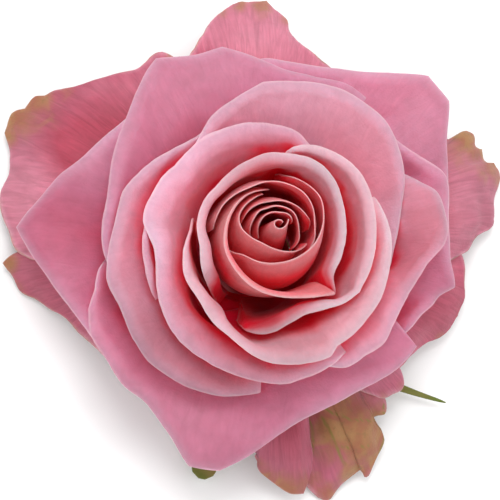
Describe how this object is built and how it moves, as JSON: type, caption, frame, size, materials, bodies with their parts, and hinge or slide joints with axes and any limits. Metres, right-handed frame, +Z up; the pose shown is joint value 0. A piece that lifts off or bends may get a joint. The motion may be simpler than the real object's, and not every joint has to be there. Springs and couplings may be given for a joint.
{
  "type": "garden rose",
  "caption": "Open garden rose bloom resting face up: layered petals spiral round a tight heart, over reflexed guard petals, sepals, a hip and a short cut stem end.",
  "frame": {"origin": "centre of the stem's cut face, on the surface the bloom rests on", "axes": "+Z up through the hip towards the heart of the bloom, +Y towards the top of the picture, +X towards its right"},
  "size_m": [0.1148, 0.1149, 0.0555],
  "materials": {
    "heart_petals": "soft velvety petal skin",
    "centre_petals": "soft velvety petal skin",
    "cup_petals": "soft velvety petal skin",
    "inner_petals": "soft velvety petal skin",
    "outer_petals": "soft velvety petal skin",
    "guard_petals": "soft velvety petal skin",
    "sepals": "thin green leaf skin, slightly waxy",
    "hip": "smooth green plant skin with a cut face"
  },
  "bodies": {
    "root": {"heart_petal_1": "heart_petals", "heart_petal_2": "heart_petals", "heart_petal_3": "heart_petals", "heart_petal_4": "heart_petals", "heart_petal_5": "heart_petals", "centre_petal_1": "centre_petals", "centre_petal_2": "centre_petals", "centre_petal_3": "centre_petals", "cup_petal_1": "cup_petals", "cup_petal_2": "cup_petals", "cup_petal_3": "cup_petals", "inner_petal_1": "inner_petals", "inner_petal_2": "inner_petals", "inner_petal_3": "inner_petals", "inner_petal_4": "inner_petals", "inner_petal_5": "inner_petals", "outer_petal_1": "outer_petals", "outer_petal_2": "outer_petals", "outer_petal_3": "outer_petals", "outer_petal_4": "outer_petals", "outer_petal_5": "outer_petals", "guard_petal_1": "guard_petals", "guard_petal_2": "guard_petals", "guard_petal_3": "guard_petals", "guard_petal_4": "guard_petals", "guard_petal_5": "guard_petals", "guard_petal_6": "guard_petals", "guard_petal_7": "guard_petals", "guard_petal_8": "guard_petals", "sepal_1": "sepals", "sepal_2": "sepals", "sepal_3": "sepals", "sepal_4": "sepals", "sepal_5": "sepals", "hip_and_stem_end": "hip"}
  },
  "joints": []
}
